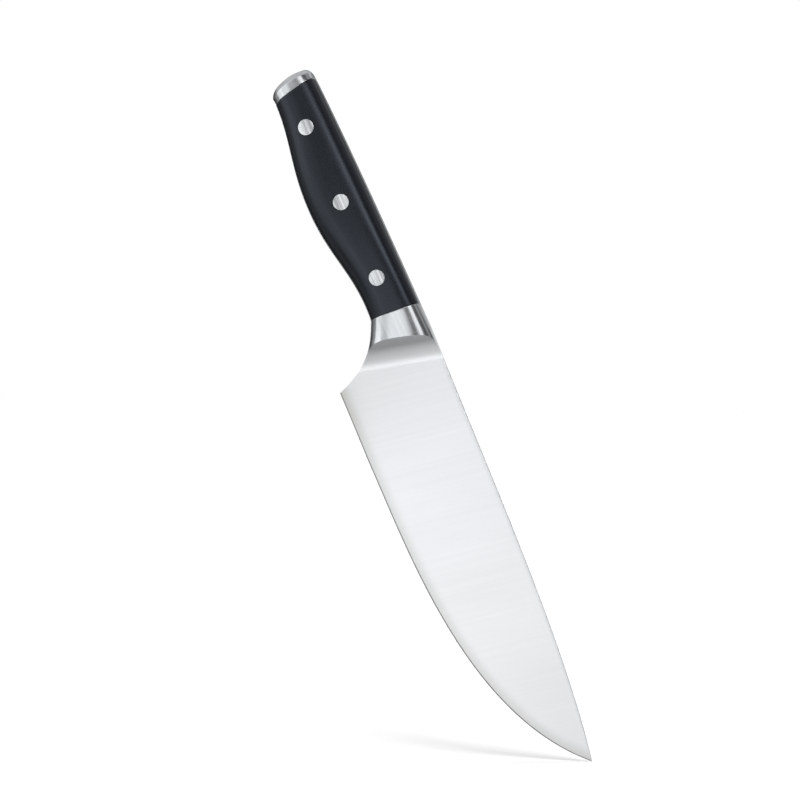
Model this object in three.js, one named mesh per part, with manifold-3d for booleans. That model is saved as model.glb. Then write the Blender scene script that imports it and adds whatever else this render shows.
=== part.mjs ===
// Chef knife: a ground blade with a full tang, a welded bolster and butt cap,
// and two plastic scales held by three two-part compression rivets.
//
// Millimetres. +Z runs from the blade's tip to the butt, +X points to the spine and -X to the
// cutting edge, and thickness is along Y. Until the last lines the tip is at x = 0, z = 0.

import * as THREE from 'three';
import { mergeVertices } from 'three/addons/utils/BufferGeometryUtils.js';
import Module from 'manifold-3d';

const wasm = await Module();
wasm.setup();

// ---- Driving dimensions ----------------------------------------------------

// Outline in the XZ plane. Each curve is a cubic Bezier: start, two handles, end.
const cuttingEdge = bezier([0, 0], [-43, 38.7], [-38.1, 117], [-38.4, 160]);
const flatEdge = line([-38.4, 160], [-38, 186]);
const heelEdge = line([-38, 186], [-37.85, 194.5]);
const bladeSpine = bezier([0.4, 0], [10, 53.8], [9.65, 117.1], [12, 204]);
const heelSweep = bezier([-37.85, 194.5], [-20.5, 200.45], [-16.4, 208], [-11.7, 218.5]);
const frontBelly = bezier([-11.7, 218.5], [-10, 241.9], [-17.75, 251.9], [-17.75, 276]);
const rearBelly = bezier([-17.75, 276], [-17.75, 300.6], [-10.05, 311.6], [-12.8, 337]);
const handleBack = bezier([12, 204], [11.35, 239.9], [11.1, 294], [8.8, 337]);

// Blade
const bladeThickness = 2.5;
const edgeThickness = 0.3;
const bevelWidth = 0.6;
const grindSlope = 0.0219;

// Grip: bolster, handle and cap share one rounded section.
const gripLow = 186;
const gripHigh = 335.3;
const gripThickness = 21;
const gripFattest = 275;
const gripThinning = 1.4 / 60 ** 2;
const bellyRoundness = 2.3;
const spineRoundness = 3.8;
const capCorner = 2.2;
const capDomeRadius = 20;
const capApex = 2;

// Hollow ramp from the bolster down to the blade's faces
const rampRadius = 14;
const rampSlant = THREE.MathUtils.degToRad(14.7);
const rampFoot = { x: -3, z: 193.2 };

// Seams across the handle: height at x = 0 and rise towards the spine
const bolsterSeam = { z: 217.65, rise: -0.085 };
const capSeam = { z: 327.5, rise: 0.175 };
const seamGap = 0.3;

// Tang inside the bolster (neck) and inside the cap (tenon)
const shoulderDepth = 8;
const blankHigh = 212;
const neck = { left: -8, right: 8, low: 197, high: 222 };
const tenon = { left: -7, right: 5, low: 322, high: 331 };
const weldGap = 0.3;

// Rivets, from the bolster to the butt
const rivetNames = ['front', 'middle', 'rear'];
const rivetStart = { x: -0.35, z: 234 };
const rivetStep = { x: -1.07, z: 37.55 };
const headRadius = 3.65;
const headInner = 5;
const shankRadius = 2.6;
const pinRadius = 1.6;
const rivetClearance = 0.15;
const rivetReach = 13;
const rivetSides = 32;

// Tessellation
const ringPoints = 44;
const bolsterRings = 10;
const handleRings = 17;
const edgeStations = 20;
const rampSteps = 20;

// ---- Curves ----------------------------------------------------------------

function bezier(...points) {
  const corners = points.map(([x, z]) => new THREE.Vector2(x, z));
  return new THREE.CubicBezierCurve(...corners);
}

function line([startX, startZ], [endX, endZ]) {
  const partWay = (share) => [startX + share * (endX - startX), startZ + share * (endZ - startZ)];
  return bezier(partWay(0), partWay(1 / 3), partWay(2 / 3), partWay(1));
}

// The x of a curve at height z. Height grows along every outline curve.
function xAt(curve, z) {
  let low = 0;
  let high = 1;
  for (let step = 0; step < 40; step++) {
    const middle = (low + high) / 2;
    if (curve.getPoint(middle).y < z) low = middle;
    else high = middle;
  }
  return curve.getPoint(low).x;
}

// The x at height z on the curve of a chain that reaches that height.
function xOnChain(chain, z) {
  const curve = chain.find((candidate) => z <= candidate.v3.y) ?? chain.at(-1);
  return xAt(curve, z);
}

const edgeX = (z) => xOnChain([cuttingEdge, flatEdge, heelEdge], z);
const spineX = (z) => xOnChain([bladeSpine, handleBack], z);
const bellyX = (z) => xOnChain([heelSweep, frontBelly, rearBelly], z);

// Half the blade's thickness on its ground face
function groundHalf(x, z) {
  return edgeThickness / 2 + grindSlope * (x - edgeX(z));
}

// ---- Solids ----------------------------------------------------------------

// A closed geometry as a solid, whichever way its faces were wound
function toSolid(geometry) {
  const plain = geometry.clone();
  plain.deleteAttribute('normal');
  plain.deleteAttribute('uv');
  const merged = mergeVertices(plain, 1e-4);
  const vertProperties = Float32Array.from(merged.attributes.position.array);
  const triVerts = Uint32Array.from(merged.index.array);
  if (signedVolume(vertProperties, triVerts) < 0) triVerts.reverse();
  return new wasm.Manifold(new wasm.Mesh({ numProp: 3, vertProperties, triVerts }));
}

function signedVolume(positions, triangles) {
  const corner = (index) => new THREE.Vector3().fromArray(positions, 3 * index);
  let volume = 0;
  for (let i = 0; i < triangles.length; i += 3) {
    const [a, b, c] = [corner(triangles[i]), corner(triangles[i + 1]), corner(triangles[i + 2])];
    volume += a.dot(b.cross(c)) / 6;
  }
  return volume;
}

function toGeometry(solid) {
  const mesh = solid.getMesh();
  const geometry = new THREE.BufferGeometry();
  geometry.setAttribute('position', new THREE.BufferAttribute(mesh.vertProperties, 3));
  geometry.setIndex(new THREE.BufferAttribute(mesh.triVerts, 1));
  geometry.computeVertexNormals();
  return geometry;
}

// A closed skin over rings of points, each end closed by a fan from its middle
function loft(rings) {
  const count = rings[0].length;
  const points = rings.flat();
  const triangles = [];
  for (let ring = 0; ring + 1 < rings.length; ring++) {
    for (let i = 0; i < count; i++) {
      const a = ring * count + i;
      const b = ring * count + (i + 1) % count;
      triangles.push(a, b, b + count, a, b + count, a + count);
    }
  }
  const lastRing = (rings.length - 1) * count;
  const middleOf = (ring) => {
    const sum = new THREE.Vector3();
    for (const point of ring) sum.add(point);
    return sum.divideScalar(count);
  };
  points.push(middleOf(rings[0]), middleOf(rings.at(-1)));
  for (let i = 0; i < count; i++) {
    const next = (i + 1) % count;
    triangles.push(points.length - 2, next, i);
    triangles.push(points.length - 1, lastRing + i, lastRing + next);
  }
  const geometry = new THREE.BufferGeometry().setFromPoints(points);
  geometry.setIndex(triangles);
  return toSolid(geometry);
}

function block(low, high) {
  const size = high.map((value, axis) => value - low[axis]);
  const geometry = new THREE.BoxGeometry(...size);
  geometry.translate(...low.map((value, axis) => value + size[axis] / 2));
  return toSolid(geometry);
}

// A shape drawn in X and Z, extruded to the same depth on both sides of y = 0
function plate(outline, halfDepth) {
  const shape = new THREE.Shape(outline.map(([x, z]) => new THREE.Vector2(x, z)));
  const geometry = new THREE.ExtrudeGeometry(shape, { depth: 2 * halfDepth, bevelEnabled: false });
  geometry.translate(0, 0, -halfDepth);
  geometry.rotateX(Math.PI / 2);
  return toSolid(geometry);
}

// Everything on the tip's side of a seam, as a slab that is wider than the knife
function belowSeam(seam, gap) {
  const reach = 60;
  const height = (x) => seam.z + seam.rise * x - gap;
  return plate([[-reach, 150], [reach, 150], [reach, height(reach)], [-reach, height(-reach)]], reach);
}

// ---- Blade -----------------------------------------------------------------

function bladeRing(z, clearance) {
  const edge = edgeX(z) - clearance;
  const spine = spineX(z) + clearance;
  const bevel = Math.min(bevelWidth, (spine - edge) / 2);
  const shoulder = groundHalf(edgeX(z) + bevel, z) + clearance;
  const back = groundHalf(spineX(z), z) + clearance;
  return [
    new THREE.Vector3(edge, 0, z),
    new THREE.Vector3(edge + bevel, -shoulder, z),
    new THREE.Vector3(spine, -back, z),
    new THREE.Vector3(spine, back, z),
    new THREE.Vector3(edge + bevel, shoulder, z),
  ];
}

// The ground blade, carried on past the heel, where the shoulder cut ends it
function groundBlade(clearance) {
  const heights = [];
  for (let i = 0; i < edgeStations; i++) {
    heights.push(cuttingEdge.getPoint(i / edgeStations).y);
  }
  heights.push(cuttingEdge.v3.y, flatEdge.v3.y, heelEdge.v3.y, blankHigh);
  return loft(heights.map((z) => bladeRing(z, clearance)));
}

// What the sweep from the heel to the handle leaves open on the belly side
function heelCutter() {
  const sweep = heelSweep.getPoints(24).map((point) => [point.x, point.y]);
  return plate([...sweep, [-60, heelSweep.v3.y], [-60, heelSweep.v0.y]], 20);
}

// The half of space on the tip's side of the shoulder, which runs along the ramp's slant
function belowShoulder(gap) {
  const reach = 80;
  const geometry = new THREE.BoxGeometry(2 * reach, reach, 4 * reach);
  geometry.translate(0, 0, shoulderDepth + gap - 2 * reach);
  geometry.rotateY(rampSlant);
  geometry.translate(rampFoot.x, 0, rampFoot.z);
  return toSolid(geometry);
}

function rivetPlaces() {
  return rivetNames.map((name, i) => ({
    name,
    x: rivetStart.x + i * rivetStep.x,
    z: rivetStart.z + i * rivetStep.z,
  }));
}

// A round solid about a rivet's axis, from a profile of [radius, y] pairs
function turned(profile, place) {
  const points = profile.map(([radius, y]) => new THREE.Vector2(radius, y));
  const geometry = new THREE.LatheGeometry(points, rivetSides);
  geometry.translate(place.x, 0, place.z);
  return toSolid(geometry);
}

function rod(radius, low, high, place) {
  return turned([[0, low], [radius, low], [radius, high], [0, high]], place);
}

function blade(grip) {
  const half = bladeThickness / 2;
  const blank = groundBlade(0).intersect(belowShoulder(0)).subtract(heelCutter());
  const slab = block([-60, -half, gripLow], [60, half, gripHigh + 5]);
  const tang = grip.intersect(slab)
    .subtract(belowSeam(bolsterSeam, 0))
    .intersect(belowSeam(capSeam, seamGap));
  const neckBar = block([neck.left, -half, neck.low], [neck.right, half, neck.high]);
  const tenonBar = block([tenon.left, -half, tenon.low], [tenon.right, half, tenon.high]);
  let solid = blank.add(neckBar).add(tang).add(tenonBar);
  for (const place of rivetPlaces()) {
    solid = solid.subtract(rod(shankRadius + rivetClearance, -half - 1, half + 1, place));
  }
  return solid;
}

// ---- Grip ------------------------------------------------------------------

// A ring round the grip at height z, drawn in by inset. With dome set to 1 the ring curves down
// away from the cap's highest point.
function gripRing(z, inset, dome) {
  const spine = spineX(z);
  const belly = bellyX(z);
  const middle = (spine + belly) / 2;
  const halfWidth = (spine - belly) / 2 - inset;
  const halfThick = gripThickness / 2 - gripThinning * (z - gripFattest) ** 2 - inset;
  const ring = [];
  for (let i = 0; i < ringPoints; i++) {
    const angle = 2 * Math.PI * i / ringPoints;
    const power = 2 / (Math.cos(angle) > 0 ? spineRoundness : bellyRoundness);
    const x = middle + halfWidth * signedPower(Math.cos(angle), power);
    const y = halfThick * signedPower(Math.sin(angle), power);
    const sag = dome * ((x - capApex) ** 2 + y ** 2) / (2 * capDomeRadius);
    ring.push(new THREE.Vector3(x, y, z - sag));
  }
  return ring;
}

function signedPower(value, power) {
  return Math.sign(value) * Math.abs(value) ** power;
}

// The whole grip as one body: bolster, handle and cap before they are parted
function gripBody() {
  const cornerStart = gripHigh - capCorner;
  const handleLow = heelSweep.v3.y;
  const handleHigh = capSeam.z - 6;
  const rings = [];
  for (let i = 0; i < bolsterRings; i++) {
    rings.push(gripRing(THREE.MathUtils.lerp(gripLow, handleLow, i / bolsterRings), 0, 0));
  }
  for (let i = 0; i <= handleRings; i++) {
    rings.push(gripRing(THREE.MathUtils.lerp(handleLow, handleHigh, i / handleRings), 0, 0));
  }
  rings.push(gripRing(cornerStart, 0, 1));
  for (const degrees of [22.5, 45, 67.5, 90]) {
    const angle = THREE.MathUtils.degToRad(degrees);
    const inset = capCorner * (1 - Math.cos(angle));
    rings.push(gripRing(cornerStart + capCorner * Math.sin(angle), inset, 1));
  }
  for (const inset of [4.5, 7]) {
    rings.push(gripRing(gripHigh, inset, 1));
  }
  return loft(rings);
}

// Cuts the hollow ramp on one face: side is -1 for the right face and 1 for the left.
// The cutter's flat lies on the ground face, and its round part rises towards the handle.
function rampCutter(side) {
  const shape = new THREE.Shape();
  shape.moveTo(-60, 0);
  shape.lineTo(0, 0);
  shape.absarc(0, rampRadius, rampRadius, -Math.PI / 2, 0, false);
  shape.lineTo(rampRadius, 40);
  shape.lineTo(-60, 40);
  const length = 160;
  const settings = { depth: length, bevelEnabled: false, curveSegments: rampSteps };
  const geometry = new THREE.ExtrudeGeometry(shape, settings);
  geometry.translate(0, 0, -length / 2);
  const along = new THREE.Vector3(0, 0, 1);
  const outward = new THREE.Vector3(0, side, 0);
  const across = new THREE.Vector3().crossVectors(along, outward);
  geometry.applyMatrix4(new THREE.Matrix4().makeBasis(along, outward, across));
  geometry.rotateY(rampSlant);
  geometry.rotateZ(side * Math.atan(grindSlope));
  geometry.translate(rampFoot.x, side * groundHalf(rampFoot.x, rampFoot.z), rampFoot.z);
  return toSolid(geometry);
}

function bolster(grip) {
  const half = bladeThickness / 2 + weldGap;
  const neckHole = block(
    [neck.left - weldGap, -half, neck.low],
    [neck.right + weldGap, half, neck.high],
  );
  const bladePocket = groundBlade(weldGap).intersect(belowShoulder(weldGap));
  return grip
    .intersect(belowSeam(bolsterSeam, seamGap))
    .subtract(rampCutter(-1))
    .subtract(rampCutter(1))
    .subtract(heelCutter())
    .subtract(bladePocket)
    .subtract(neckHole);
}

function buttCap(grip) {
  const half = bladeThickness / 2 + weldGap;
  const pocket = block(
    [tenon.left - weldGap, -half, tenon.low],
    [tenon.right + weldGap, half, tenon.high + weldGap],
  );
  return grip.subtract(belowSeam(capSeam, 0)).subtract(pocket);
}

function scale(grip, side) {
  const inner = side * bladeThickness / 2;
  const outer = side * 30;
  const low = Math.min(inner, outer);
  const high = Math.max(inner, outer);
  let solid = grip
    .intersect(block([-60, low, gripLow], [60, high, gripHigh + 5]))
    .subtract(belowSeam(bolsterSeam, 0))
    .intersect(belowSeam(capSeam, seamGap));
  const [deep, reach] = [side * headInner, side * rivetReach];
  for (const place of rivetPlaces()) {
    const counterbore = [Math.min(deep, reach), Math.max(deep, reach)];
    solid = solid
      .subtract(rod(shankRadius + rivetClearance, -rivetReach, rivetReach, place))
      .subtract(rod(headRadius + rivetClearance, ...counterbore, place));
  }
  return solid;
}

// ---- Rivets ----------------------------------------------------------------

// Male half: a head on the right face and a solid pin
function rivetPin(grip, place) {
  return turned([
    [0, -rivetReach],
    [headRadius, -rivetReach],
    [headRadius, -headInner],
    [pinRadius, -headInner],
    [pinRadius, headInner],
    [0, headInner],
  ], place).intersect(grip);
}

// Female half: a head on the left face and a hollow shank that grips the pin
function rivetSleeve(grip, place) {
  const mouth = -headInner + seamGap;
  const floor = headInner + seamGap;
  const bore = pinRadius + rivetClearance;
  return turned([
    [0, floor],
    [bore, floor],
    [bore, mouth],
    [shankRadius, mouth],
    [shankRadius, headInner],
    [headRadius, headInner],
    [headRadius, rivetReach],
    [0, rivetReach],
  ], place).intersect(grip);
}

// ---- Materials and assembly ------------------------------------------------

const satinSteel = { color: 0xd9dadb, roughness: 0.35, metalness: 1 };
const polishedSteel = { color: 0xc9cbcd, roughness: 0.15, metalness: 1 };
const blackPlastic = { color: 0x1d1f24, roughness: 0.45, metalness: 0 };
const rivetSteel = { color: 0xcfd1d2, roughness: 0.25, metalness: 1 };

function piece(name, solid, look) {
  const mesh = new THREE.Mesh(toGeometry(solid), new THREE.MeshStandardMaterial(look));
  mesh.name = name;
  return mesh;
}

const grip = gripBody();
const knife = new THREE.Group();
knife.add(
  piece('blade', blade(grip), satinSteel),
  piece('bolster', bolster(grip), polishedSteel),
  piece('butt_cap', buttCap(grip), polishedSteel),
  piece('scale_right', scale(grip, -1), blackPlastic),
  piece('scale_left', scale(grip, 1), blackPlastic),
);
for (const place of rivetPlaces()) {
  knife.add(piece(`rivet_${place.name}_pin`, rivetPin(grip, place), rivetSteel));
  knife.add(piece(`rivet_${place.name}_sleeve`, rivetSleeve(grip, place), rivetSteel));
}

// The origin lies level with the tip, below the middle of the outline.
const outline = new THREE.Box3().setFromObject(knife);
knife.position.x = -(outline.min.x + outline.max.x) / 2;

export default knife;
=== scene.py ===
from math import radians

import bmesh
import bpy
import numpy as np
from mathutils import Matrix, Vector


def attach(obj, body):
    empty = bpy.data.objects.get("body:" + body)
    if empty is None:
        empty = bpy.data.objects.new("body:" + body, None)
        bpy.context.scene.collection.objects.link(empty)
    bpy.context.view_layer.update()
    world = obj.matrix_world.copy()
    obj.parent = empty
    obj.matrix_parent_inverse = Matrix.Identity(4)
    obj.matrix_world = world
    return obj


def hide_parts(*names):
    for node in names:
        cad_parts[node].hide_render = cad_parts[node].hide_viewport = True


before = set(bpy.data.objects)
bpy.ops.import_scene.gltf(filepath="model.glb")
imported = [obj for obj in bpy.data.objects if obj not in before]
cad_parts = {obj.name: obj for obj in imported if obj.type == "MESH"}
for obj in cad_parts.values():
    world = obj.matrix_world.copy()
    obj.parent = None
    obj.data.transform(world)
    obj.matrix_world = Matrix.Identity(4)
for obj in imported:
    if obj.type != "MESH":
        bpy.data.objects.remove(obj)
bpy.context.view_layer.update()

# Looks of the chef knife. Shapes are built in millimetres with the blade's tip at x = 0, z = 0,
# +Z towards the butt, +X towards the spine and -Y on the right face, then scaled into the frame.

# ---- Dimensions, in millimetres --------------------------------------------

MM = 0.001
TIP_X = 13.232

BLADE_THICKNESS = 2.5
EDGE_THICKNESS = 0.3
BEVEL_WIDTH = 0.6
GRIND_SLOPE = 0.0219
SPINE_CORNER = 0.25
# The spine's rounded corner dies away over this height below the ramp.
CORNER_FADE = 8
# These hold the smooth outline inside the box of the faceted solid.
SPINE_INSET = 0.035
EDGE_INSET = 0.003

GRIP_THICKNESS = 20.99
GRIP_FATTEST = 275
GRIP_THINNING = 1.4 / 60 ** 2
BELLY_ROUNDNESS = 2.3
SPINE_ROUNDNESS = 3.8
GRIP_HIGH = 335.29
CAP_CORNER = 2.2
CAP_DOME_RADIUS = 20
CAP_APEX = 2

RAMP_RADIUS = 14
RAMP_SLANT = radians(14.7)
RAMP_FOOT = np.array([-3.0, 193.2])

# Each seam's height at x = 0, and its rise for each millimetre towards the spine.
BOLSTER_SEAM = (217.5, -0.085)
CAP_SEAM = (327.35, 0.175)
SEAM_ROUND = 0.22
SEAM_GAP = 0.06
SCALE_LENGTH = 107.4
SCALE_ROUND = 0.16
TANG_HALF = BLADE_THICKNESS / 2 - 0.02

# Each rivet's x and z.
RIVETS = {"front": (-0.35, 234.0), "middle": (-1.42, 271.55), "rear": (-2.49, 309.1)}
HEAD_RADIUS = 3.65
HEAD_ROUND = 0.16
HEAD_GAP = 0.12
HEAD_DEPTH = 5
PIN_RADIUS = 1.6
SLEEVE_RADIUS = 2.6

# Neighbouring faces that meet at more than this angle, in degrees, meet at a sharp edge.
SHARP_ANGLE = 35


# ---- Outline ---------------------------------------------------------------

CURVE_POINTS = 401


def bezier(*corners):
    """A dense table of (x, z) along a cubic Bezier whose z rises."""
    t = np.linspace(0, 1, CURVE_POINTS)[:, None]
    a, b, c, d = (np.array(corner, float) for corner in corners)
    return (1 - t) ** 3 * a + 3 * (1 - t) ** 2 * t * b + 3 * (1 - t) * t ** 2 * c + t ** 3 * d


EDGE = np.vstack([
    bezier((0, 0), (-43, 38.7), (-38.1, 117), (-38.4, 160)),
    [(-38, 186), (-37.85, 194.5)],
]) + [EDGE_INSET, 0]
HEEL_SWEEP = bezier((-37.85, 194.5), (-20.5, 200.45), (-16.4, 208), (-11.7, 218.5))
BELLY = np.vstack([
    HEEL_SWEEP,
    bezier((-11.7, 218.5), (-10, 241.9), (-17.75, 251.9), (-17.75, 276)),
    bezier((-17.75, 276), (-17.75, 300.6), (-10.05, 311.6), (-12.8, 337)),
])
SPINE = np.vstack([
    bezier((0.4, 0), (10, 53.8), (9.65, 117.1), (12, 204)),
    bezier((12, 204), (11.35, 239.9), (11.1, 294), (8.8, 337)),
]) - [SPINE_INSET, 0]


def edge_x(z):
    return np.interp(z, EDGE[:, 1], EDGE[:, 0])


def belly_x(z):
    return np.interp(z, BELLY[:, 1], BELLY[:, 0])


def spine_x(z):
    return np.interp(z, SPINE[:, 1], SPINE[:, 0])


def ground_half(x, z):
    """Half the blade's thickness on its ground face."""
    return EDGE_THICKNESS / 2 + GRIND_SLOPE * (x - edge_x(z))


def seam_z(seam, x):
    return seam[0] + seam[1] * x


# ---- Grip section ----------------------------------------------------------

def grip_frame(z):
    """Middle, half width and half thickness of the grip's section at height z."""
    spine, belly = spine_x(z), belly_x(z)
    thick = GRIP_THICKNESS / 2 - GRIP_THINNING * (z - GRIP_FATTEST) ** 2
    return (spine + belly) / 2, (spine - belly) / 2, thick


def grip_point(z, angle):
    """x and y of the grip's surface. Angle 0 is the middle of the spine and pi of the belly."""
    middle, half, thick = grip_frame(z)
    cos, sin = np.cos(angle), np.sin(angle)
    power = 2 / np.where(cos > 0, SPINE_ROUNDNESS, BELLY_ROUNDNESS)
    x = middle + half * np.sign(cos) * np.abs(cos) ** power
    y = thick * np.sign(sin) * np.abs(sin) ** power
    return x, y


def grip_half_y(x, z):
    """Half the grip's thickness over the point (x, z)."""
    middle, half, thick = grip_frame(z)
    across = (x - middle) / half
    power = np.where(across > 0, SPINE_ROUNDNESS, BELLY_ROUNDNESS)
    return thick * (1 - np.abs(across) ** power) ** (1 / power)


def angle_at_y(z, y, spine_side):
    """The angle on one side of the section at which its surface reaches the thickness y."""
    _, _, thick = grip_frame(z)
    roundness = SPINE_ROUNDNESS if spine_side else BELLY_ROUNDNESS
    angle = np.arcsin((y / thick) ** (roundness / 2))
    return angle if spine_side else np.pi - angle


def even_angles(count, start, stop, z, weight=None):
    """Angles from start to stop, evenly spaced along the section at height z.
    weight, a function of |y|, adds to the arc length where more points are needed."""
    dense = start + (stop - start) * (0.5 - 0.5 * np.cos(np.linspace(0, np.pi, 6001)))
    x, y = grip_point(z, dense)
    steps = np.hypot(np.diff(x), np.diff(y))
    if weight is not None:
        steps += np.abs(np.diff(weight(np.abs(y))))
    length = np.concatenate([[0], np.cumsum(steps)])
    return np.interp(np.linspace(0, length[-1], count), length, dense)


def height_on_seam(seam, angle):
    """The height at which the grip's surface at this angle crosses a seam."""
    z = np.full(np.shape(angle), float(seam[0]))
    for _ in range(8):
        x, _ = grip_point(z, angle)
        z = seam_z(seam, x)
    return z


# ---- Mesh building ---------------------------------------------------------

class Skin:
    """Collects grids and faces of points into one mesh."""

    def __init__(self):
        self.points = []
        self.faces = []
        self.slots = []

    def add(self, points):
        start = len(self.points)
        self.points.extend(np.asarray(points, float).reshape(-1, 3))
        return start

    def grid(self, rows, closed=False, slot=0):
        """Quads over an array of rows by columns by 3.
        closed joins the last column to the first."""
        rows = np.asarray(rows, float)
        start = self.add(rows)
        count, width = rows.shape[:2]
        for i in range(count - 1):
            for j in range(width if closed else width - 1):
                k = (j + 1) % width
                corners = (i * width + j, i * width + k, (i + 1) * width + k, (i + 1) * width + j)
                self.faces.append([start + c for c in corners])
                self.slots.append(slot)

    def cap(self, ring, slot=0):
        """One flat face over a ring of points."""
        start = self.add(ring)
        self.faces.append(list(range(start, start + len(ring))))
        self.slots.append(slot)


def stack(x, y, z):
    return np.stack(np.broadcast_arrays(x, y, z), axis=-1)


def make_piece(name, skin, materials):
    """An object in the frame from a skin in millimetres, with its loose rows joined up."""
    points = (np.array(skin.points) + [TIP_X, 0, 0]) * MM
    mesh = bpy.data.meshes.new(name)
    mesh.from_pydata(points.tolist(), [], skin.faces)
    for material in materials:
        mesh.materials.append(material)
    mesh.polygons.foreach_set("material_index", skin.slots)
    shape = bmesh.new()
    shape.from_mesh(mesh)
    bmesh.ops.remove_doubles(shape, verts=shape.verts, dist=0.0005 * MM)
    bmesh.ops.dissolve_degenerate(shape, edges=shape.edges, dist=0.0001 * MM)
    bmesh.ops.recalc_face_normals(shape, faces=shape.faces)
    shape.to_mesh(mesh)
    shape.free()
    piece = bpy.data.objects.new(name, mesh)
    bpy.context.scene.collection.objects.link(piece)
    return piece


def apply_modifiers(piece):
    """Replaces the piece's mesh by what its modifiers make of it."""
    shapes = bpy.context.evaluated_depsgraph_get()
    made = bpy.data.meshes.new_from_object(piece.evaluated_get(shapes))
    piece.modifiers.clear()
    piece.data = made


def shade(mesh):
    """Smooth shading, but for edges that are sharp or lie between two materials."""
    shape = bmesh.new()
    shape.from_mesh(mesh)
    for edge in shape.edges:
        faces = edge.link_faces
        flat = (len(faces) == 2
                and faces[0].normal.angle(faces[1].normal, 0) < radians(SHARP_ANGLE))
        edge.smooth = flat and faces[0].material_index == faces[1].material_index
    for face in shape.faces:
        face.smooth = True
    shape.to_mesh(mesh)
    shape.free()


# ---- Nodes -----------------------------------------------------------------

class Nodes:
    """Makes nodes in a tree and links them, so that a material reads as a list of steps."""

    def __init__(self, tree):
        self.tree = tree

    def make(self, kind, inputs=(), **settings):
        node = self.tree.nodes.new(kind)
        for name, value in settings.items():
            setattr(node, name, value)
        for socket, value in dict(inputs).items():
            self.feed(node.inputs[socket], value)
        return node

    def feed(self, socket, value):
        if isinstance(value, bpy.types.NodeSocket):
            self.tree.links.new(value, socket)
        else:
            socket.default_value = value

    def math(self, operation, a, b=0.0, c=0.0):
        return self.make("ShaderNodeMath", {0: a, 1: b, 2: c}, operation=operation).outputs[0]

    def span(self, value, low, high, new_low, new_high, smooth=True):
        """value taken from one range to another, and held at its ends."""
        kind = "SMOOTHSTEP" if smooth else "LINEAR"
        inputs = {"Value": value, "From Min": low, "From Max": high,
                  "To Min": new_low, "To Max": new_high}
        return self.make("ShaderNodeMapRange", inputs, interpolation_type=kind).outputs["Result"]

    def streaks(self, place, scale, detail=3.0, seed=0.0):
        """Noise of about -0.5 to 0.5. scale is its fineness along each axis, in 1/m, so lines
        run along the axis with the smallest one."""
        moved = self.make("ShaderNodeMapping", {"Vector": place, "Location": (seed, seed, seed),
                                                "Scale": scale})
        noise = self.make("ShaderNodeTexNoise", {"Vector": moved.outputs[0], "Scale": 1.0,
                                                 "Detail": detail, "Roughness": 0.6})
        return self.math("SUBTRACT", noise.outputs["Fac"], 0.5)

    def sum_of(self, *terms):
        """The sum of (value, weight) pairs."""
        total = 0.0
        for value, weight in terms:
            total = self.math("MULTIPLY_ADD", value, weight, total)
        return total


def new_material(name):
    material = bpy.data.materials.new(name)
    material.use_nodes = True
    tree = material.node_tree
    tree.nodes.clear()
    nodes = Nodes(tree)
    output = nodes.make("ShaderNodeOutputMaterial")
    shader = nodes.make("ShaderNodeBsdfPrincipled")
    tree.links.new(shader.outputs[0], output.inputs["Surface"])
    return material, nodes, shader


def blend(nodes, factor, first, second):
    mix = nodes.make("ShaderNodeMix", data_type="RGBA")
    nodes.feed(mix.inputs["Factor"], factor)
    nodes.feed(mix.inputs["A"], first)
    nodes.feed(mix.inputs["B"], second)
    return mix.outputs["Result"]


# ---- Materials -------------------------------------------------------------

STEEL_DARK, STEEL_LIGHT = (0.765, 0.777, 0.79, 1), (0.905, 0.913, 0.925, 1)
# A greyer, warmer steel, laid on the blade as painted shade.
STEEL_PAINTED_SHADE = (0.55, 0.545, 0.52, 1)
BEVEL_DARK, BEVEL_LIGHT = (0.20, 0.20, 0.20, 1), (0.34, 0.34, 0.34, 1)
PLASTIC_DARK, PLASTIC_LIGHT = (0.0042, 0.0046, 0.0064, 1), (0.0082, 0.0088, 0.0115, 1)
PLASTIC_GLINT = (0.76, 0.86, 1.0, 1)
PAPER_DARK, PAPER_LIGHT = (0.71, 0.71, 0.71, 1), (0.73, 0.73, 0.73, 1)

# The ground lines cross the blade at this angle, square to the middle of its edge.
LINE_SLANT = radians(-9)
# How deep the relief of each surface is, in metres.
GROUND_RELIEF, BUFFED_RELIEF = 0.00002, 0.00005


def object_place(nodes):
    return nodes.make("ShaderNodeTexCoord").outputs["Object"]


def add_bump(nodes, shader, height, strength, distance):
    bump = nodes.make("ShaderNodeBump", {"Height": height, "Strength": strength,
                                         "Distance": distance})
    nodes.feed(shader.inputs["Normal"], bump.outputs[0])


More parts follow.
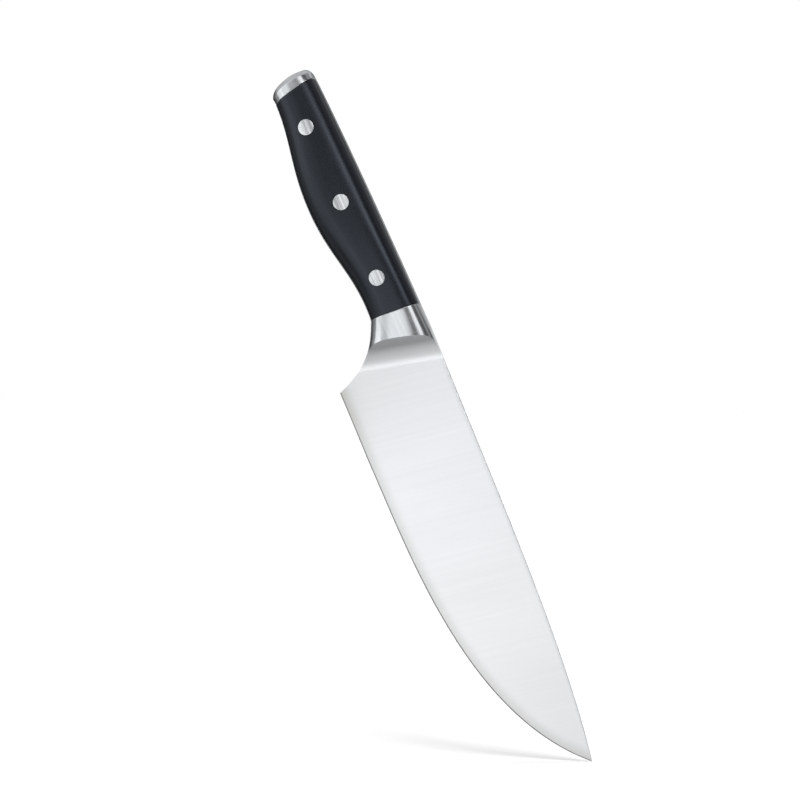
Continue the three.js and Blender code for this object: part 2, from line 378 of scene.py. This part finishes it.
def satin_blade():
    """Ground steel with fine lines across the blade. Painted shade makes it greyer and warmer
    beside the cutting edge, at the heel and towards the tip. Heights are in metres and
    edge_distance in millimetres."""
    material, nodes, shader = new_material("satin_blade")
    turned = nodes.make("ShaderNodeVectorRotate", {"Vector": object_place(nodes),
                                                   "Angle": LINE_SLANT},
                        rotation_type="Y_AXIS").outputs[0]
    hair = nodes.streaks(turned, (22, 22, 2400), seed=1.7)
    lines = nodes.streaks(turned, (9, 9, 520), seed=4.1)
    cloud = nodes.streaks(turned, (18, 18, 45), detail=2.0, seed=8.3)
    tone = nodes.sum_of((hair, 0.35), (lines, 0.45), (cloud, 0.5))
    tone = nodes.math("ADD", tone, 0.5)
    steel = blend(nodes, tone, STEEL_DARK, STEEL_LIGHT)
    edge = nodes.make("ShaderNodeAttribute", attribute_name="edge_distance").outputs["Fac"]
    height = nodes.make("ShaderNodeSeparateXYZ", {"Vector": object_place(nodes)}).outputs["Z"]
    # Painted shade: the steel is mixed towards the greyer, warmer colour near the cutting edge, at
    # the heel and towards the tip.
    near_edge = nodes.span(edge, 0.0, 6.0, 0.5, 0.0)
    beside_heel = nodes.span(edge, 0.0, 12.0, 1.0, 0.0)
    across_heel = nodes.span(edge, 0.0, 48.0, 1.0, 0.0, smooth=False)
    heel = nodes.math("MULTIPLY", nodes.span(height, 0.150, 0.195, 0.0, 1.0),
                      nodes.sum_of((beside_heel, 0.25), (across_heel, 0.2)))
    near_tip = nodes.span(height, 0.075, 0.160, 0.17, 0.0)
    painted_shade = nodes.math("ADD", nodes.math("ADD", near_edge, heel), near_tip)
    colour = blend(nodes, painted_shade, steel, STEEL_PAINTED_SHADE)
    nodes.feed(shader.inputs["Base Color"], colour)
    shader.inputs["Metallic"].default_value = 1.0
    rough = nodes.sum_of((hair, 0.10), (cloud, 0.08))
    nodes.feed(shader.inputs["Roughness"], nodes.math("ADD", rough, 0.33))
    relief = nodes.sum_of((hair, 0.6), (lines, 1.0))
    add_bump(nodes, shader, relief, 0.25, GROUND_RELIEF)
    return material


def ground_bevel():
    """The sharpened bevel: coarser and darker than the flanks."""
    material, nodes, shader = new_material("ground_bevel")
    grit = nodes.streaks(object_place(nodes), (3000, 3000, 3000), seed=2.2)
    colour = blend(nodes, nodes.math("ADD", grit, 0.5), BEVEL_DARK, BEVEL_LIGHT)
    nodes.feed(shader.inputs["Base Color"], colour)
    shader.inputs["Metallic"].default_value = 1.0
    nodes.feed(shader.inputs["Roughness"], nodes.math("MULTIPLY_ADD", grit, 0.2, 0.35))
    add_bump(nodes, shader, grit, 0.3, GROUND_RELIEF)
    return material


def polished_steel(name, gloss, dark, light, contrast=1.0):
    """Buffed steel with faint lines along the handle. gloss is its roughness, dark and light
    are its brightness between the lines and on them, and contrast is how clearly they show."""
    material, nodes, shader = new_material(name)
    place = object_place(nodes)
    fine = nodes.streaks(place, (3200, 3200, 16), seed=3.9)
    broad = nodes.streaks(place, (520, 520, 7), detail=2.0, seed=6.2)
    tone = nodes.math("ADD", nodes.sum_of((fine, 0.5 * contrast), (broad, contrast)), 0.5)
    colour = blend(nodes, tone, (dark * 0.98, dark, dark * 1.03, 1),
                   (light * 0.98, light, light * 1.02, 1))
    nodes.feed(shader.inputs["Base Color"], colour)
    shader.inputs["Metallic"].default_value = 1.0
    rough = nodes.sum_of((fine, 0.08), (broad, 0.06))
    nodes.feed(shader.inputs["Roughness"], nodes.math("ADD", rough, gloss))
    add_bump(nodes, shader, nodes.sum_of((fine, 0.25), (broad, 1.0)), 0.2, BUFFED_RELIEF)
    return material


def black_plastic():
    """Moulded black plastic with a satin skin that is slightly uneven."""
    material, nodes, shader = new_material("black_plastic")
    place = object_place(nodes)
    grain = nodes.streaks(place, (2600, 2600, 2600), detail=2.0, seed=5.5)
    wave = nodes.streaks(place, (60, 60, 25), detail=3.0, seed=9.1)
    rubbed = nodes.streaks(place, (700, 700, 90), detail=4.0, seed=7.7)
    tone = nodes.math("ADD", nodes.sum_of((grain, 0.4), (rubbed, 0.5)), 0.5)
    colour = blend(nodes, tone, PLASTIC_DARK, PLASTIC_LIGHT)
    nodes.feed(shader.inputs["Base Color"], colour)
    rough = nodes.sum_of((grain, 0.05), (wave, 0.08), (rubbed, 0.06))
    nodes.feed(shader.inputs["Roughness"], nodes.math("ADD", rough, 0.27))
    shader.inputs["Specular IOR Level"].default_value = 0.5
    shader.inputs["Specular Tint"].default_value = PLASTIC_GLINT
    add_bump(nodes, shader, nodes.sum_of((grain, 0.5), (wave, 2.0)), 0.12, BUFFED_RELIEF)
    return material


blade_steel = satin_blade()
bevel_steel = ground_bevel()
collar_steel = polished_steel("collar_steel", gloss=0.21, dark=0.45, light=0.7)
rivet_steel = polished_steel("rivet_steel", gloss=0.36, dark=0.4, light=1.0, contrast=2.5)
plastic = black_plastic()


# ---- Blade and tang --------------------------------------------------------

def ramp_place(x, z):
    """How far a point lies along the ramp's foot line, and how far above it."""
    dx, dz = x - RAMP_FOOT[0], z - RAMP_FOOT[1]
    cos, sin = np.cos(RAMP_SLANT), np.sin(RAMP_SLANT)
    return dx * cos - dz * sin, dx * sin + dz * cos


def ramp_point(along, above):
    """x and z of a point given by ramp_place's two distances."""
    cos, sin = np.cos(RAMP_SLANT), np.sin(RAMP_SLANT)
    return RAMP_FOOT[0] + along * cos + above * sin, RAMP_FOOT[1] - along * sin + above * cos


def ramp_lift(above):
    """How far the hollow ramp stands off the blade's face."""
    above = np.clip(above, 0, RAMP_RADIUS)
    return RAMP_RADIUS - np.sqrt(RAMP_RADIUS ** 2 - above ** 2)


def foot_height(curve):
    """The height at which an outline curve meets the ramp's foot line."""
    _, above = ramp_place(curve[:, 0], curve[:, 1])
    return float(np.interp(0, above, curve[:, 1]))


SPINE_FOOT = foot_height(SPINE[:CURVE_POINTS])
HEEL_FOOT = foot_height(HEEL_SWEEP)


def along_curve(curve, count):
    """Points evenly spaced along a table of points."""
    steps = np.hypot(*np.diff(curve, axis=0).T)
    length = np.concatenate([[0], np.cumsum(steps)])
    wanted = np.linspace(0, length[-1], count)
    return np.stack([np.interp(wanted, length, curve[:, axis]) for axis in (0, 1)], axis=1)


def blade_ring(left, right_z, bevel):
    """One closed row of points round the blade: from the edge across the right face, round
    the spine and back. left is its point on the edge and right_z its height on the spine."""
    face_columns, corner_steps = 26, 5
    right = spine_x(right_z)
    bevel = min(bevel, (right - left[0]) / 2)
    corner = SPINE_CORNER * np.clip((SPINE_FOOT - right_z) / CORNER_FADE, 0.1, 1)
    corner = min(corner, (right - left[0]) / 4, 0.8 * ground_half(right, right_z))
    x = np.linspace(left[0] + bevel, right - corner, face_columns)
    share = (x - left[0]) / (right - left[0])
    z = left[1] + (right_z - left[1]) * share
    face = stack(x, ground_half(x, z), z)
    face[0, 2] = left[1]
    turn = np.linspace(0, np.pi / 2, corner_steps + 1)[1:]
    back = ground_half(right, right_z)
    corner_x = right - corner + corner * np.sin(turn)
    corner_y = back - corner + corner * np.cos(turn)
    half = np.vstack([face, stack(corner_x, corner_y, right_z)])
    mirrored = half * [1, -1, 1]
    return np.vstack([[[left[0], 0, left[1]]], mirrored, half[::-1]])


def blade_skin():
    """Rows run from the tip along the cutting edge, then up the heel's sweep to the ramp."""
    skin = Skin()
    edge_rows, heel_rows = 150, 22
    heel = EDGE[-1]
    slope = SPINE_FOOT / HEEL_FOOT
    rows = []
    for left in along_curve(EDGE, edge_rows):
        rows.append(blade_ring(left, left[1] * slope, BEVEL_WIDTH))
    past_bevel = HEEL_SWEEP[:, 0] > heel[0] + BEVEL_WIDTH
    sweep = HEEL_SWEEP[past_bevel & (HEEL_SWEEP[:, 1] < HEEL_FOOT)]
    end = [belly_x(HEEL_FOOT), HEEL_FOOT]
    for left in along_curve(np.vstack([sweep, [end]]), heel_rows):
        rows.append(blade_ring(left, left[1] * slope, 0))
    rows = np.array(rows)
    skin.grid(rows[:, 1:-1])
    for side in ([0, 1], [-1, 0]):
        skin.grid(rows[:edge_rows, side], slot=1)
        skin.grid(rows[edge_rows - 1:, side])
    skin.cap(rows[0])
    skin.cap(rows[-1])
    add_tang(skin)
    return skin


def add_tang(skin):
    """The tang, of which two strips show between the scales."""
    levels, strip_columns = 140, 7
    rings = []
    strip = np.linspace(-1, 1, strip_columns)
    for part in np.linspace(0, 1, levels):
        level = BOLSTER_SEAM[0] + part * (CAP_SEAM[0] - BOLSTER_SEAM[0])
        spine_reach = angle_at_y(level, TANG_HALF, True)
        belly_reach = np.pi - angle_at_y(level, TANG_HALF, False)
        angles = np.concatenate([strip * spine_reach, np.pi + strip * belly_reach])
        low = height_on_seam(BOLSTER_SEAM, angles) + SEAM_GAP / 2
        high = height_on_seam(CAP_SEAM, angles) - SEAM_GAP / 2
        z = low + part * (high - low)
        x, y = grip_point(z, angles)
        rings.append(stack(x, y, z))
    skin.grid(rings, closed=True)
    skin.cap(rings[0])
    skin.cap(rings[-1])


# ---- Grip pieces -----------------------------------------------------------

def grip_inset(z, angle, depth):
    """A point of the grip's surface, drawn in by depth."""
    step = 1e-4
    x0, y0 = grip_point(z, angle - step)
    x1, y1 = grip_point(z, angle + step)
    length = np.hypot(x1 - x0, y1 - y0)
    x, y = grip_point(z, angle)
    return x - depth * (y1 - y0) / length, y + depth * (x1 - x0) / length


def edge_round(distance, radius):
    """How far a surface is drawn in at a distance from its rounded border."""
    reach = np.clip(radius - distance, 0, radius)
    return radius - np.sqrt(radius ** 2 - reach ** 2)


# How the rows over a rounded border and the columns of a narrow strip are shared out.
ROUND_STEPS = np.array([0, 0.06, 0.2, 0.4, 0.7, 1.0])
STRIP_STEPS = 4


def full_ring(spine_reach, belly_reach, side_angles):
    """Angles all round the grip: spine strip, left side, belly strip and right side."""
    spine = np.linspace(-spine_reach, spine_reach, STRIP_STEPS + 1)[:-1]
    belly = np.linspace(belly_reach, 2 * np.pi - belly_reach, STRIP_STEPS + 1)[:-1]
    right = 2 * np.pi - side_angles[::-1]
    return np.concatenate([spine, side_angles[:-1], belly, right[:-1]])


def ramp_ends(angles):
    """The height at which each angle's line down the grip meets the ramp or its foot line."""
    below_ramp = 180.0
    low = np.full(len(angles), below_ramp)
    high = height_on_seam(BOLSTER_SEAM, angles)
    for _ in range(50):
        middle = (low + high) / 2
        x, y = grip_point(middle, angles)
        _, above = ramp_place(x, middle)
        outside = np.abs(y) < ground_half(x, middle) + ramp_lift(above)
        kept = (above > 0) & (outside | (above > RAMP_RADIUS))
        high = np.where(kept, middle, high)
        low = np.where(kept, low, middle)
    return high


def bolster_skin():
    """Rows run down from the seam to the ramp, then over the ramp to its foot line."""
    skin = Skin()
    spine_half = ground_half(spine_x(SPINE_FOOT), SPINE_FOOT)
    heel_half = ground_half(belly_x(HEEL_FOOT), HEEL_FOOT)
    spine_reach = angle_at_y(SPINE_FOOT, spine_half, True)
    belly_reach = angle_at_y(HEEL_FOOT, heel_half, False)

    def ramp_spread(y):
        lift = np.clip(y - heel_half, 0, RAMP_RADIUS)
        return np.sqrt(RAMP_RADIUS ** 2 - (RAMP_RADIUS - lift) ** 2)

    side_columns, mid_height = 110, 205
    side = even_angles(side_columns, spine_reach, belly_reach, mid_height, ramp_spread)
    angles = full_ring(spine_reach, belly_reach, side)
    top = height_on_seam(BOLSTER_SEAM, angles) - SEAM_GAP / 2
    end = ramp_ends(angles)
    rows = []
    for distance in ROUND_STEPS * SEAM_ROUND:
        x, y = grip_inset(top - distance, angles, edge_round(distance, SEAM_ROUND))
        rows.append(stack(x, y, top - distance))
    for share in np.linspace(0, 1, 42)[1:]:
        z = top - SEAM_ROUND + share * (end - top + SEAM_ROUND)
        x, y = grip_point(z, angles)
        rows.append(stack(x, y, z))
    skin.grid(rows, closed=True)
    skin.cap(rows[0])

    left = slice(STRIP_STEPS, STRIP_STEPS + len(side))
    feet = []
    for sign, columns in ((1, rows[-1][left]), (-1, rows[-1][left] * [1, -1, 1])):
        along, above = ramp_place(columns[:, 0], columns[:, 2])
        turn = np.arcsin(np.clip(above / RAMP_RADIUS, 0, 1))
        patch = []
        for share in (1 - np.linspace(0, 1, 26)) ** 1.6:
            height = RAMP_RADIUS * np.sin(turn * share)
            x, z = ramp_point(along, height)
            y = sign * (ground_half(x, z) + ramp_lift(height))
            patch.append(stack(x, y, z))
        patch[0] = columns
        skin.grid(patch, slot=1)
        feet.append(patch[-1])
    spine_strip = rows[-1][:STRIP_STEPS + 1]
    belly_strip = rows[-1][left.stop - 1:left.stop + STRIP_STEPS]
    skin.cap(np.vstack([spine_strip, feet[0][1:-1], belly_strip, feet[1][::-1][1:-1]]), slot=1)
    return skin


def cap_skin():
    """Rows run up from the seam, over the rounded corner and across the domed top."""
    skin = Skin()
    side_columns, strip_reach = 90, 0.02
    side = even_angles(side_columns, strip_reach, np.pi - strip_reach, CAP_SEAM[0])
    angles = full_ring(strip_reach, np.pi - strip_reach, side)
    bottom = height_on_seam(CAP_SEAM, angles) + SEAM_GAP / 2
    shoulder = GRIP_HIGH - CAP_CORNER
    rows = []
    for distance in ROUND_STEPS * SEAM_ROUND:
        x, y = grip_inset(bottom + distance, angles, edge_round(distance, SEAM_ROUND))
        rows.append(stack(x, y, bottom + distance))

    def sag(x, y):
        return ((x - CAP_APEX) ** 2 + y ** 2) / (2 * CAP_DOME_RADIUS)

    rim_x, rim_y = grip_point(shoulder, angles)
    rim_z = shoulder - sag(rim_x, rim_y)
    for share in np.linspace(0, 1, 12)[1:]:
        start = bottom + SEAM_ROUND
        x, y = grip_point(start + share * (shoulder - start), angles)
        rows.append(stack(x, y, start + share * (rim_z - start)))
    for turn in np.linspace(0, np.pi / 2, 10)[1:]:
        x, y = grip_inset(shoulder, angles, CAP_CORNER * (1 - np.cos(turn)))
        rows.append(stack(x, y, shoulder + CAP_CORNER * np.sin(turn) - sag(x, y)))
    last = rows[-1]
    middle, _, _ = grip_frame(shoulder)
    for share in np.linspace(1, 0, 16)[1:]:
        x = middle + share * (last[:, 0] - middle)
        y = share * last[:, 1]
        rows.append(stack(x, y, GRIP_HIGH - sag(x, y)))
    skin.grid(rows, closed=True)
    skin.cap(rows[0])
    return skin


def scale_skin(side):
    """One handle slab, whose rows run from the bolster's seam to the cap's."""
    skin = Skin()
    inner = BLADE_THICKNESS / 2
    columns, levels = 110, 118
    reach = even_angles(columns, 0, np.pi, GRIP_FATTEST)
    border = ROUND_STEPS[1:] * SCALE_ROUND
    middle = np.linspace(0.8, SCALE_LENGTH - 0.9, levels)
    heights = [[0], border, middle, SCALE_LENGTH - border[::-1], [SCALE_LENGTH]]
    rows = []
    for share in np.concatenate(heights) / SCALE_LENGTH:
        level = BOLSTER_SEAM[0] + share * (CAP_SEAM[0] - BOLSTER_SEAM[0])
        start = angle_at_y(level, inner, True)
        stop = angle_at_y(level, inner, False)
        angles = start + (stop - start) * reach / np.pi
        low = height_on_seam(BOLSTER_SEAM, angles) + SEAM_GAP / 2
        high = height_on_seam(CAP_SEAM, angles) - SEAM_GAP / 2
        z = low + share * (high - low)
        end_distance = np.minimum(share, 1 - share) * SCALE_LENGTH
        x, y = grip_point(z, angles)
        steps = np.concatenate([[0], np.cumsum(np.hypot(np.diff(x), np.diff(y)))])
        tang_distance = np.minimum(steps, steps[-1] - steps)
        depth = edge_round(np.minimum(end_distance, tang_distance), SCALE_ROUND)
        x, y = grip_inset(z, angles, depth)
        rows.append(stack(x, side * np.maximum(y, inner), z))
    rows = np.array(rows)
    skin.grid(rows)
    skin.grid(rows[:, [0, -1]])
    skin.cap(rows[0])
    skin.cap(rows[-1])
    return skin


ROUND_SEGMENTS = 96


def rivet_cutters(side):
    """Round plugs that leave a fine groove round each rivet head."""
    cutters = []
    for x, z in RIVETS.values():
        mesh = bpy.data.meshes.new("cutter")
        shape = bmesh.new()
        radius = (HEAD_RADIUS + HEAD_GAP) * MM
        bmesh.ops.create_cone(shape, cap_ends=True, segments=ROUND_SEGMENTS,
                              radius1=radius, radius2=radius, depth=10 * MM,
                              matrix=Matrix.Rotation(radians(90), 4, "X"))
        shape.to_mesh(mesh)
        shape.free()
        cutter = bpy.data.objects.new("cutter", mesh)
        cutter.location = ((x + TIP_X) * MM, side * 12 * MM, z * MM)
        bpy.context.scene.collection.objects.link(cutter)
        cutters.append(cutter)
    return cutters


def drill(piece, cutters):
    """Cuts the plugs out of the piece and clears them away."""
    for cutter in cutters:
        cut = piece.modifiers.new("hole", "BOOLEAN")
        cut.operation = "DIFFERENCE"
        cut.solver = "EXACT"
        cut.object = cutter
    apply_modifiers(piece)
    for cutter in cutters:
        bpy.data.objects.remove(cutter)


def head_skin(place, side):
    """One half of a rivet: a head that follows the scale's surface, and its shank."""
    skin = Skin()
    turn = np.linspace(0, 2 * np.pi, ROUND_SEGMENTS + 1)[:-1]

    def circle(radius):
        return place[0] + radius * np.cos(turn), place[1] + radius * np.sin(turn)

    rows = []
    flat = HEAD_RADIUS - HEAD_ROUND
    for radius in np.concatenate([[0.0], np.linspace(0.4, flat, 9)]):
        x, z = circle(radius)
        rows.append(stack(x, grip_half_y(x, z), z))
    for angle in np.radians([22.5, 45, 67.5, 90]):
        x, z = circle(flat + HEAD_ROUND * np.sin(angle))
        rows.append(stack(x, grip_half_y(x, z) - HEAD_ROUND * (1 - np.cos(angle)), z))
    shank = PIN_RADIUS if side < 0 else SLEEVE_RADIUS
    for radius, y in ((HEAD_RADIUS, HEAD_DEPTH), (shank, HEAD_DEPTH), (shank, 0.1)):
        x, z = circle(radius)
        rows.append(stack(x, np.full(len(turn), float(y)), z))
    rows = np.array(rows) * [1, side, 1]
    skin.grid(rows, closed=True)
    skin.cap(rows[-1])
    return skin


# ---- Assembly --------------------------------------------------------------

def place_piece(piece, node):
    """Finishes a piece and lets it stand for one node of the part."""
    shade(piece.data)
    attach(piece, "root")
    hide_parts(node)


TANG_START = 212
NO_EDGE = 60
EDGE_SAMPLES = 400


def mark_edge_distance(mesh):
    """Stores each vertex's distance from the cutting edge, in millimetres. The tang counts as
    far from it."""
    points = np.zeros(len(mesh.vertices) * 3)
    mesh.vertices.foreach_get("co", points)
    points = points.reshape(-1, 3) / MM - [TIP_X, 0, 0]
    gaps = points[:, None, [0, 2]] - along_curve(EDGE, EDGE_SAMPLES)[None]
    distance = np.sqrt((gaps ** 2).sum(-1)).min(1)
    distance[points[:, 2] > TANG_START] = NO_EDGE
    attribute = mesh.attributes.new("edge_distance", "FLOAT", "POINT")
    attribute.data.foreach_set("value", distance.astype(np.float32))


blade = make_piece("blade_and_tang", blade_skin(), [blade_steel, bevel_steel])
mark_edge_distance(blade.data)
place_piece(blade, "blade")

bolster = make_piece("bolster_collar", bolster_skin(), [collar_steel, blade_steel])
mark_edge_distance(bolster.data)
place_piece(bolster, "bolster")

cap = make_piece("end_cap", cap_skin(), [collar_steel])
place_piece(cap, "butt_cap")

for side, hand in ((-1, "right"), (1, "left")):
    scale = make_piece(f"handle_scale_{hand}", scale_skin(side), [plastic])
    drill(scale, rivet_cutters(side))
    place_piece(scale, f"scale_{hand}")
    half = "pin" if side < 0 else "sleeve"
    for name, place in RIVETS.items():
        head = make_piece(f"rivet_head_{name}_{hand}", head_skin(place, side), [rivet_steel])
        place_piece(head, f"rivet_{name}_{half}")


# ---- Studio ----------------------------------------------------------------

# Places and distances are in metres from here on.

# The floor passes under the tip and is level in the view, in which the knife leans.
FLOOR_NORMAL = Vector((0.4, -0.1, 0.91)).normalized()
FLOOR_HALF = 1.5
FLOOR_DROP = 1e-4

# The camera's azimuth from -Y towards +X, its elevation and how far the knife leans in it.
# LENS and SENSOR are in millimetres.
VIEW_AZIMUTH, VIEW_ELEVATION, VIEW_LEAN = radians(8), radians(-4), radians(23.52)
VIEW_DISTANCE = 0.85
VIEW_CENTRE = Vector((-0.000793, 0, 0.180635))
LENS, SENSOR = 85.113, 36

# The key lamp's height over the floor and its turn from the view's right, then each lamp's
# strength and its spread in degrees.
KEY_HEIGHT, KEY_SIDE = radians(76), radians(-4)
KEY_STRENGTH, KEY_SPREAD = 4.0, 42
FILL_STRENGTH, FILL_SPREAD = 1.38, 180


def make_camera():
    """Places the camera, and returns the direction to its right."""
    sin_a, cos_a = np.sin(VIEW_AZIMUTH), np.cos(VIEW_AZIMUTH)
    back = Vector((sin_a * np.cos(VIEW_ELEVATION), -cos_a * np.cos(VIEW_ELEVATION),
                   np.sin(VIEW_ELEVATION)))
    level = Vector((cos_a, sin_a, 0))
    above = back.cross(level)
    right = level * np.cos(VIEW_LEAN) - above * np.sin(VIEW_LEAN)
    up = level * np.sin(VIEW_LEAN) + above * np.cos(VIEW_LEAN)
    camera = bpy.data.objects.new("camera", bpy.data.cameras.new("camera"))
    bpy.context.scene.collection.objects.link(camera)
    camera.data.sensor_width = SENSOR
    camera.data.lens = LENS
    camera.data.clip_start = 0.01
    turn = Matrix((right, up, back)).transposed().to_4x4()
    camera.matrix_world = Matrix.Translation(VIEW_CENTRE + back * VIEW_DISTANCE) @ turn
    bpy.context.scene.camera = camera
    return right


def make_floor():
    """A matt white sheet, which takes the knife's shadow and shows in no metal."""
    mesh = bpy.data.meshes.new("floor")
    corners = [(x * FLOOR_HALF, y * FLOOR_HALF, 0) for x, y in ((-1, -1), (1, -1), (1, 1), (-1, 1))]
    mesh.from_pydata(corners, [], [(0, 1, 2, 3)])
    floor = bpy.data.objects.new("floor", mesh)
    bpy.context.scene.collection.objects.link(floor)
    turn = FLOOR_NORMAL.to_track_quat("Z", "Y").to_matrix().to_4x4()
    under_tip = Vector((TIP_X, 0, 0)) * MM - FLOOR_NORMAL * FLOOR_DROP
    floor.matrix_world = Matrix.Translation(under_tip) @ turn
    material, nodes, shader = new_material("paper")
    fibre = nodes.streaks(object_place(nodes), (900, 900, 900), seed=0.4)
    colour = blend(nodes, nodes.math("ADD", fibre, 0.5), PAPER_DARK, PAPER_LIGHT)
    nodes.feed(shader.inputs["Base Color"], colour)
    shader.inputs["Roughness"].default_value = 1.0
    shader.inputs["Specular IOR Level"].default_value = 0.0
    mesh.materials.append(material)
    floor.visible_glossy = False


def add_sun(name, source, strength, spread):
    """A distant lamp in the direction of source, which lights the floor and shows in no metal."""
    sun = bpy.data.objects.new(name, bpy.data.lights.new(name, "SUN"))
    bpy.context.scene.collection.objects.link(sun)
    sun.data.energy = strength
    sun.data.angle = radians(spread)
    sun.rotation_euler = source.to_track_quat("Z", "Y").to_euler()
    sun.visible_glossy = False


def make_suns(right):
    """A broad lamp over the knife, to its right, and an even light from all over the room."""
    across = (right - FLOOR_NORMAL * right.dot(FLOOR_NORMAL)).normalized()
    away = FLOOR_NORMAL.cross(across)
    level = across * np.cos(KEY_SIDE) + away * np.sin(KEY_SIDE)
    source = level * np.cos(KEY_HEIGHT) + FLOOR_NORMAL * np.sin(KEY_HEIGHT)
    add_sun("key", source, KEY_STRENGTH, KEY_SPREAD)
    add_sun("fill", FLOOR_NORMAL, FILL_STRENGTH, FILL_SPREAD)


# Each panel: its two ends in azimuth, in degrees from the right face's direction towards the
# spine, and their softness; its lowest and highest elevation as sines and their softness; and
# its brightness.
PANELS = [
    ((-54, -30, 8), (-1.5, 0.07, 0.04), 1.0),
    ((-72, -30, 8), (0.07, 1.5, 0.04), 1.0),
    ((-72, -30, 8), (0.28, 1.5, 0.04), 0.4),
    ((-34, 1, 3), (-1.5, 0.115, 0.04), 1.54),
    ((-34, 1, 3), (0.14, 0.25, 0.05), 0.2),
    ((-34, 5, 3), (0.28, 1.5, 0.03), 1.25),
    ((4, 11, 3), (0.32, 1.5, 0.03), 0.5),
    ((19, 37, 3), (-1.5, 1.5, 0.1), 1.5),
    ((22, 35, 3), (0.1, 0.29, 0.05), 3.2),
    ((72, 130, 10), (-1.5, 1.5, 0.1), 0.3),
]
AMBIENT = 0.1
CEILING = 0.75
# Azimuths are folded on to one half turn, which puts the same panels in front and behind.
FOLD_START, FOLD_END = -75.0, 105.0
# Higher up, the panels lean by this many degrees.
PANEL_LEAN = 17
# The floor's brightness straight below and near the horizon.
FLOOR_BELOW, FLOOR_AHEAD = 0.47, 0.56
# How much dimmer the far side is, and the soft glow in the middle of it.
FAR_SHADE = 0.55
BACKDROP_AT = (-0.139, 0.99, 0)
BACKDROP_LIGHT = 0.2
TINT = (0.98, 0.99, 1, 1)


def panel_light(nodes, azimuth, height, panel):
    """One soft-edged panel's light in a direction."""
    (left, right, soft), (low, high, fade), brightness = panel
    rise = nodes.span(azimuth, left - soft, left + soft, 0, 1)
    fall = nodes.span(azimuth, right - soft, right + soft, 1, 0)
    up = nodes.span(height, low - fade, low + fade, 0, 1)
    down = nodes.span(height, high - fade, high + fade, 1, 0)
    across = nodes.math("MULTIPLY", rise, fall)
    over = nodes.math("MULTIPLY", up, down)
    return nodes.math("MULTIPLY", nodes.math("MULTIPLY", across, over), brightness)


def all_panels(nodes, split):
    """The light of all the panels together, by azimuth and height."""
    height = split.outputs["Z"]
    minus_y = nodes.math("MULTIPLY", split.outputs["Y"], -1.0)
    azimuth = nodes.math("ARCTAN2", split.outputs["X"], minus_y)
    degrees = nodes.math("MULTIPLY", azimuth, 180 / np.pi)
    folded = nodes.math("WRAP", degrees, FOLD_END, FOLD_START)
    leaning = nodes.math("ADD", folded, nodes.span(height, 0.16, 0.33, 0, PANEL_LEAN))
    panels = AMBIENT
    for panel in PANELS:
        panels = nodes.math("ADD", panels, panel_light(nodes, leaning, height, panel))
    return panels


def room_light(nodes, toward):
    """The light in a direction, whose height is the sine of its elevation."""
    split = nodes.make("ShaderNodeSeparateXYZ", {"Vector": toward})
    height = split.outputs["Z"]
    panels = all_panels(nodes, split)

    # Low down the panels give way to the floor, which is brighter in front than underneath.
    floor = nodes.span(height, -0.9, -0.2, FLOOR_BELOW, FLOOR_AHEAD)
    floor = nodes.math("MULTIPLY", floor, nodes.math("MULTIPLY_ADD", panels, 0.5, 0.45))
    low = nodes.span(height, -0.3, -0.06, 1, 0)
    gap = nodes.math("SUBTRACT", floor, panels)
    light = nodes.math("MULTIPLY_ADD", gap, low, panels)

    # High up they give way to an even ceiling.
    high = nodes.span(height, 0.50, 0.75, 0, 1)
    gap = nodes.math("SUBTRACT", CEILING, light)
    light = nodes.math("MULTIPLY_ADD", gap, high, light)

    # In between, the far side is dimmer, which draws the outlines, except for the backdrop.
    far = nodes.span(split.outputs["Y"], 0.0, 0.3, 0, 1)
    raised = nodes.span(height, -0.12, 0.0, 0, 1)
    under = nodes.span(height, 0.5, 0.8, 1, 0)
    band = nodes.math("MULTIPLY", raised, under)
    shade = nodes.math("MULTIPLY_ADD", nodes.math("MULTIPLY", far, band), -FAR_SHADE, 1.0)
    light = nodes.math("MULTIPLY", light, shade)
    behind = nodes.make("ShaderNodeVectorMath", {0: toward, 1: BACKDROP_AT},
                        operation="DOT_PRODUCT").outputs["Value"]
    backdrop = nodes.math("MULTIPLY", nodes.span(behind, 0.85, 0.96, 0, BACKDROP_LIGHT), band)
    return nodes.math("ADD", light, backdrop)


def make_world():
    """White to look at. The metal and the plastic reflect the panels, and the lamps alone
    light the floor."""
    world = bpy.data.worlds.new("studio")
    world.use_nodes = True
    bpy.context.scene.world = world
    world.cycles_visibility.diffuse = False
    tree = world.node_tree
    tree.nodes.clear()
    nodes = Nodes(tree)
    toward = nodes.make("ShaderNodeTexCoord").outputs["Generated"]
    shown = nodes.make("ShaderNodeBackground", {"Color": (1, 1, 1, 1), "Strength": 1.0})
    lit = nodes.make("ShaderNodeBackground", {"Color": TINT})
    nodes.feed(lit.inputs["Strength"], room_light(nodes, toward))
    seen = nodes.make("ShaderNodeLightPath").outputs["Is Camera Ray"]
    mix = nodes.make("ShaderNodeMixShader", {"Fac": seen})
    tree.links.new(lit.outputs[0], mix.inputs[1])
    tree.links.new(shown.outputs[0], mix.inputs[2])
    output = nodes.make("ShaderNodeOutputWorld")
    tree.links.new(mix.outputs[0], output.inputs["Surface"])


bpy.context.scene.view_settings.view_transform = "Standard"
right = make_camera()
make_floor()
make_suns(right)
make_world()
